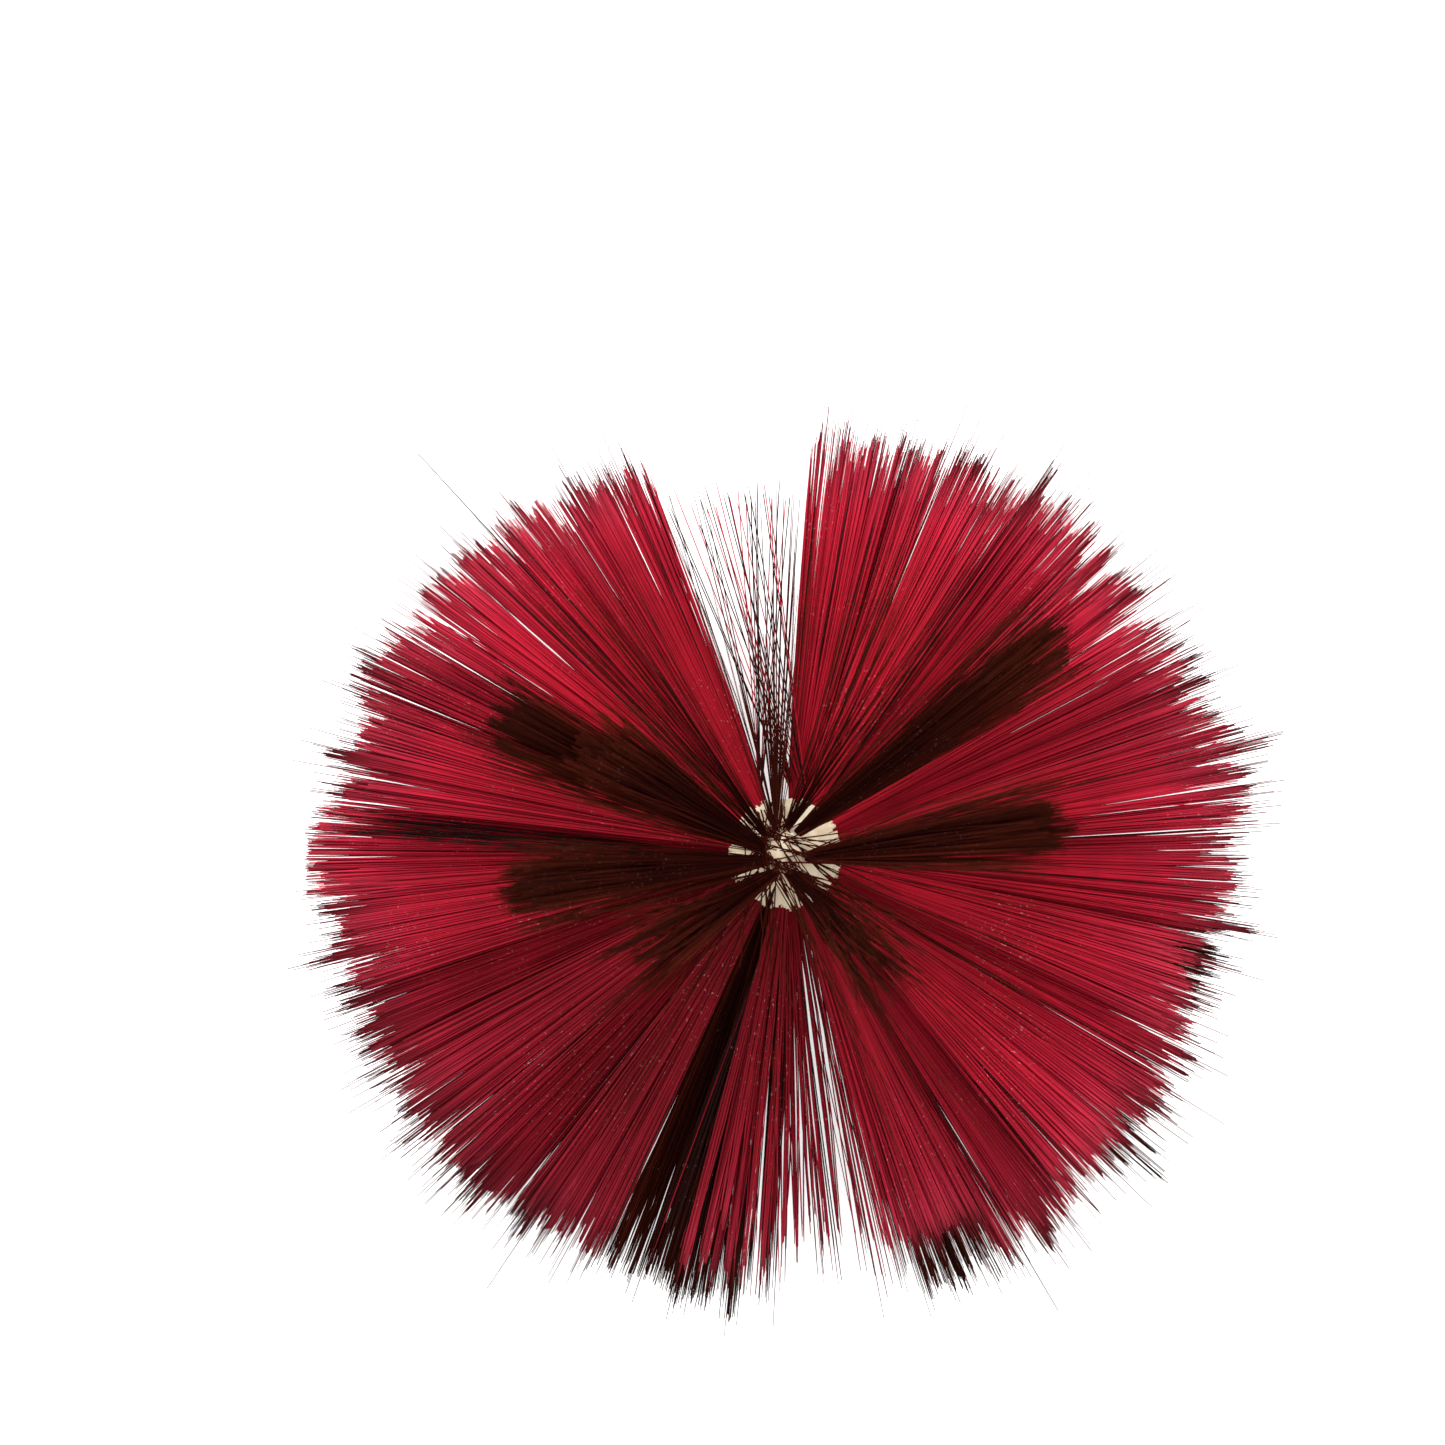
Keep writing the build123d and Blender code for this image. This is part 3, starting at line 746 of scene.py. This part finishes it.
def gap_strands(rng, tuft):
    """Thin strands spread over the gap at +Y, and short ones that close its foot."""
    ends = [(x, 119 + rng.normal(0, 5) - 0.05 * abs(x + 18), 62 + rng.normal(0, 6))
            for x in rng.uniform(-46, 10, 13)]
    parts = [crown_bundle(rng, 9, tuft, root=(1.1, 1.1), tip=(20.0, 18.0), length=tuft.length,
                          clumps=9, ragged=0.08, radius=0.20, noise=1.2, droop=0.01, soft=0.0),
             straight(tuft, ends, 0.22, 0.3, CROWN_STOPS)]
    ends = [(x, rng.uniform(46, 92), 63 + rng.normal(0, 3)) for x in rng.uniform(-17, 6, 22)]
    parts.append(straight(tuft, ends, 0.21, 0.4, SHORT_STOPS))
    return parts


def crown_parts(rng, name, tuft):
    length = tuft.length
    if name in SPARSE:
        return [crown_bundle(rng, tuft=tuft, length=length, clumps=14, ragged=0.05,
                             radius=0.18, tight=0.9, droop=0.01, **SPARSE[name])]
    if name == "crown_tuft_03":
        return gap_strands(rng, tuft)
    if name == "crown_tuft_05":
        # a long lower half, and a steeper half that was cut shorter
        return (dense(rng, 260, tipped(tuft, -7.0), length * 0.92, half_width=9.8)
                + dense(rng, 230, tipped(tuft, 9.0), length * 0.86, half_width=11.5,
                        half_height=8.0))
    if name in LOOSE:
        return [crown_bundle(rng, LOOSE[name], tuft, root=(1.2, 1.2), tip=(8.5, 7.0),
                             length=length, clumps=12, ragged=0.05, radius=0.24, noise=0.9,
                             flare=1.0, droop=0.0),
                crown_bundle(rng, 40, tuft, root=(1.2, 1.2), tip=(17.0, 11.0),
                             length=length * 0.97, clumps=10, ragged=0.08, radius=0.19,
                             noise=2.4, droop=0.0)]
    return dense(rng, 280, tuft, length * CROWN_CUT.get(name, 1.0))


for name in FAMILY["crown"]:
    tuft = tuft_frame(name, CROWN_MOUTH)
    add_tuft(name, crown_parts(seeded(name), name, tuft), DARK)


# ---------------------------------------------------------------- loose strands over the centre
crown_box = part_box("crown")
CROWN_BASE = crown_box[0].z / MM
CROWN_TOP = crown_box[1].z / MM
STRAND_COUNT = 66
STRAND_RADIUS = 0.23


def strand_points(rng, i):
    """Start, control and end point of a quadratic curve over the hub."""
    # most run from -X+Y to +X-Y, every fourth more nearly from +Y to -Y
    if i % 4 == 3:
        from_angle, to_angle = math.radians(rng.normal(100, 14)), math.radians(rng.normal(-75, 25))
    else:
        from_angle, to_angle = math.radians(rng.normal(152, 30)), math.radians(rng.normal(-30, 34))
    near = rng.uniform(6.0, 17.0)
    far = rng.uniform(12, 34) if i % 5 < 2 else rng.uniform(34, 112)
    start = (near * math.cos(from_angle), near * math.sin(from_angle),
             CROWN_TOP + 0.6 - 0.42 * max(near - 3.0, 0))
    control = (rng.normal(-5.0, 3.6), rng.normal(-1.5, 4.8), CROWN_TOP + rng.uniform(2.0, 6.5))
    end = (far * math.cos(to_angle), far * math.sin(to_angle),
           CROWN_TOP + rng.uniform(-3.0, 4.0) + 0.13 * max(far - 20, 0))
    return start, control, end


def loose_strands():
    rng = seeded("loose_strands")
    points = np.array([strand_points(rng, i) for i in range(STRAND_COUNT)])
    start, control, end = (points[:, i, None, :] for i in range(3))
    q = np.linspace(0, 1, 11)[None, :, None]
    paths = (1 - q) ** 2 * start + 2 * q * (1 - q) * control + q ** 2 * end
    radii = np.full(paths.shape[:2], STRAND_RADIUS)
    radii *= (1 + rng.normal(0, 0.12, STRAND_COUNT))[:, None]
    radii[:, -1] *= 0.5
    tint = rng.normal(0, 0.5, STRAND_COUNT)
    warm = rng.uniform(0.1, 0.7, STRAND_COUNT)
    obj = hair_object("loose_dark_strands", paths, radii, tint, warm, DARK, sides=4)
    fix_to_core(obj, "dark_root_plugs")


loose_strands()


# ---------------------------------------------------------------- tape
def sheet(grid, thickness):
    """A closed thin sheet from a grid (rows, columns, 3)."""
    rows, columns, _ = grid.shape
    normal = unit(np.cross(np.gradient(grid, axis=0), np.gradient(grid, axis=1)))
    half = normal * thickness / 2
    verts = np.concatenate([(grid + half).reshape(-1, 3), (grid - half).reshape(-1, 3)])
    count = rows * columns
    index = np.arange(count).reshape(rows, columns)
    quads = np.stack([index[:-1, :-1], index[1:, :-1], index[1:, 1:], index[:-1, 1:]],
                     -1).reshape(-1, 4)
    edge = np.concatenate([index[0, :], index[1:, -1], index[-1, -2::-1], index[-2:0:-1, 0]])
    after = np.roll(edge, -1)
    rim = np.stack([after, after + count, edge + count, edge], -1)
    return verts, np.concatenate([quads, quads[:, ::-1] + count, rim])


def tape_object(node_name, grids, thickness):
    """One mesh of several sheets of tape, in place of a CAD piece."""
    verts, faces, offset = [], [], 0
    for grid in grids:
        sheet_verts, sheet_faces = sheet(grid, thickness)
        verts.append(sheet_verts)
        faces.append(sheet_faces + offset)
        offset += len(sheet_verts)
    obj = mesh_object(node_name + "_crepe", np.concatenate(verts), [np.concatenate(faces)], TAPE)
    fix_to_core(obj, node_name)


def jag(rng, count, size):
    """An uneven torn edge: steps and points."""
    edge = np.zeros(count)
    at = 0
    while at < count:
        width = int(rng.integers(1, 5))
        step = edge[at:at + width]
        step[:] = rng.uniform(-1, 1) + np.linspace(0, rng.uniform(-0.8, 0.8), width)[:len(step)]
        at += width
    return edge * size


def turned(degrees, out, side, height):
    """A grid of points from distances outwards, anticlockwise and up at an azimuth."""
    c, s = math.cos(math.radians(degrees)), math.sin(math.radians(degrees))
    return np.stack(np.broadcast_arrays(out * c - side * s, out * s + side * c, height), -1)


WRAP_INNER = 9.95        # radius at which the wound tape starts
WRAP_OVERLAP = 0.28      # how much wider the strip's end lies than its start
WRAP_TAPER = 16.4        # radius from which the wrap narrows
WRAP_SQUARE = 0.52       # power that squares the wrap's oval section


def signed_power(values):
    return np.sign(values) * np.abs(values) ** WRAP_SQUARE


def wrap(rng, name, outer):
    """A strip of tape wound round one root, its outer edge torn."""
    hinge = hinge_point(name)
    rows, columns = 15, 58
    # the strip winds a little more than once, so its end lies over its start
    turn = np.linspace(0.15, 2 * np.pi + 0.75, columns) + rng.uniform(-0.6, 2.2)
    wind = np.linspace(0, WRAP_OVERLAP, columns) - WRAP_OVERLAP
    radius = np.linspace(WRAP_INNER, outer + rng.normal(0, 0.35), rows)[:, None]
    torn = jag(rng, columns, 0.34)
    ripple = rng.normal(0, 0.035, (rows, columns))
    share = np.linspace(0, 1, rows)[:, None]
    crease = 0.06 * np.sin(share * rng.uniform(9, 14) + rng.uniform(0, 6))
    past = np.clip(radius - WRAP_TAPER, 0, None)
    half_width = 1.78 + (radius - 9.9) * 0.205 - 0.10 * past
    half_height = 2.40 - 0.12 * past
    uneven = wind + crease + ripple
    side = signed_power(np.cos(turn)) * (half_width + uneven)
    height = signed_power(np.sin(turn)) * (half_height + uneven)
    return turned(azimuth_of(hinge), radius + torn * share ** 6, side, hinge[2] + height)


# ring, mean outer radius of its wraps
for family, outer in (("upper", 17.6), ("middle", 17.4), ("lower", 17.0)):
    node_name = family + "_tape_wraps"
    rng = seeded(node_name)
    tape_object(node_name, [wrap(rng, name, outer) for name in FAMILY[family]], thickness=0.13)


def flap(rng, k, azimuth, root_z):
    """A flap that runs from the crown's top down its cone and out over a root."""
    azimuth = azimuth + rng.normal(0, 1.5)
    rows, columns = 34, 17
    inner = 2.2
    torn = jag(rng, columns, 0.42)
    far = rng.uniform(16.6, 18.4)
    q = np.linspace(0, 1, rows)[:, None]
    out = inner + q * (far - inner) + torn * q ** 6
    width = 3.4 + 3.7 * q
    side = np.linspace(-0.5, 0.5, columns) * width * (1 + 0.03 * np.sin(9 * q + k))
    radius = np.sqrt(np.clip(out, 0, None) ** 2 + side ** 2)
    cone = CROWN_TOP - (radius - 4.4) * (CROWN_TOP - CROWN_BASE - 1.2) / 6.0
    # beyond the cone the sides of the flap droop
    lying = (root_z - 0.10 * side ** 2 * np.clip((radius - 10) / 6, 0, 1)
             - 0.10 * np.clip(radius - 15.0, 0, None))
    on_crown = 1.0 / (1.0 + np.exp((radius - 9.9) / 0.5))
    height = np.minimum(CROWN_TOP, np.maximum(cone, lying)) + 0.30 * on_crown + 0.26
    # neighbours lie at different heights, and each is wavy
    height = (height + 0.07 * (k % 4) * (1 - q) + 0.10 * np.sin(side * 1.9 + k) * q
              + rng.normal(0, 0.02, (rows, columns)))
    return turned(azimuth, out, side, height)


def top_strip(rng, k, azimuth, offset, width):
    """A strip across the very top of the crown."""
    rows, columns = 24, 10
    half_length = 5.6
    torn = jag(rng, columns, 0.4)
    q = np.linspace(-1, 1, rows)[:, None]
    out = q * half_length + torn * np.abs(q) ** 8
    side = np.linspace(-0.5, 0.5, columns) * width + offset
    height = (CROWN_TOP + 1.25 + 0.2 * k - 0.9 * np.abs(q) ** 3
              + 0.10 * np.sin(out * 1.7 + side * 1.1 + k) + rng.normal(0, 0.02, (rows, columns)))
    return turned(azimuth, out, side, height)


def centre_strips():
    """Flaps over the roots of the upper ring and one in the gap, and three crossing strips."""
    rng = seeded("centre_strips")
    hinges = [hinge_point(name) for name in FAMILY["upper"]]
    # azimuth, height of the flap's outer part
    places = [(azimuth_of(hinge), hinge[2] + 2.95) for hinge in hinges]
    places.append((91.0, CROWN_BASE + 0.4))
    grids = [flap(rng, k, *place) for k, place in enumerate(places)]
    # azimuth, sideways offset, width
    crossing = [(-52, 0.6, 4.2), (12, -0.8, 3.8), (70, 0.4, 4.0)]
    grids += [top_strip(rng, k, *strip) for k, strip in enumerate(crossing)]
    tape_object("centre_tape_strips", grids, thickness=0.14)


centre_strips()

# ---------------------------------------------------------------- stage, light, camera (metres)
AMBIENT = 0.70
BACKDROP_EXTRA = 0.32    # added where the camera sees the world itself
LIGHT_TARGET = Vector((0, 0, 0.05))

HUB = Vector((0, 0, 0.070))
CAMERA_ELEVATION = math.radians(84.0)
CAMERA_DISTANCE = 0.60
VIEW_WIDTH = 0.4571      # what the view spans at the camera's distance
# where the hub lies in the view, from its centre
HUB_RIGHT = 0.0197708
HUB_BELOW = 0.0412813
SENSOR_WIDTH = 36.0

scene = bpy.context.scene


def add_floor():
    bpy.ops.mesh.primitive_plane_add(size=12, location=(0, 0, 0))
    floor = bpy.context.object
    floor.name = "floor"
    floor.data.materials.append(floor_material())


def add_world():
    world = bpy.data.worlds.new("studio")
    scene.world = world
    world.use_nodes = True
    nodes, links = world.node_tree.nodes, world.node_tree.links
    background = nodes["Background"]
    background.inputs[0].default_value = (1.0, 1.0, 1.0, 1)
    background.inputs[1].default_value = AMBIENT
    # the backdrop behind the floor is as white as the floor
    light_path = nodes.new("ShaderNodeLightPath")
    level = nodes.new("ShaderNodeMath")
    level.operation = "MULTIPLY_ADD"
    level.inputs[1].default_value = BACKDROP_EXTRA
    level.inputs[2].default_value = AMBIENT
    links.new(light_path.outputs["Is Camera Ray"], level.inputs[0])
    links.new(level.outputs[0], background.inputs[1])


def area_light(name, location, size, power):
    light = bpy.data.lights.new(name, "AREA")
    light.shape = "DISK"
    light.size = size
    light.energy = power
    obj = bpy.data.objects.new(name, light)
    scene.collection.objects.link(obj)
    obj.location = location
    obj.rotation_mode = "QUATERNION"
    obj.rotation_quaternion = (LIGHT_TARGET - Vector(location)).to_track_quat("-Z", "Y")


def add_camera():
    """Looks steeply down at the hub from the -Y side."""
    data = bpy.data.cameras.new("camera")
    camera = bpy.data.objects.new("camera", data)
    scene.collection.objects.link(camera)
    data.sensor_width = SENSOR_WIDTH
    data.lens = SENSOR_WIDTH * CAMERA_DISTANCE / VIEW_WIDTH
    data.clip_start = 0.02
    back = Vector((0, -math.cos(CAMERA_ELEVATION), math.sin(CAMERA_ELEVATION)))
    camera.location = HUB + back * CAMERA_DISTANCE
    camera.rotation_mode = "QUATERNION"
    aim = (-back).to_track_quat("-Z", "Y")
    seen = Vector((HUB_RIGHT, -HUB_BELOW, -CAMERA_DISTANCE)).normalized()
    off_centre = Vector((0, 0, -1)).rotation_difference(seen)
    camera.rotation_quaternion = aim @ off_centre.inverted()
    focus = bpy.data.objects.new("focus", None)
    scene.collection.objects.link(focus)
    focus.location = (0, 0, 0.052)
    data.dof.use_dof = True
    data.dof.focus_object = focus
    data.dof.aperture_fstop = 13.0
    scene.camera = camera


add_floor()
add_world()
area_light("key", location=(-0.70, 0.75, 1.05), size=0.9, power=13.0)
area_light("fill", location=(0.9, 0.1, 0.95), size=0.9, power=6.0)
area_light("top", location=(0.0, -0.3, 1.5), size=1.0, power=5.0)
add_camera()
scene.view_settings.view_transform = "Standard"
scene.view_settings.look = "None"
scene.view_settings.exposure = 0.0
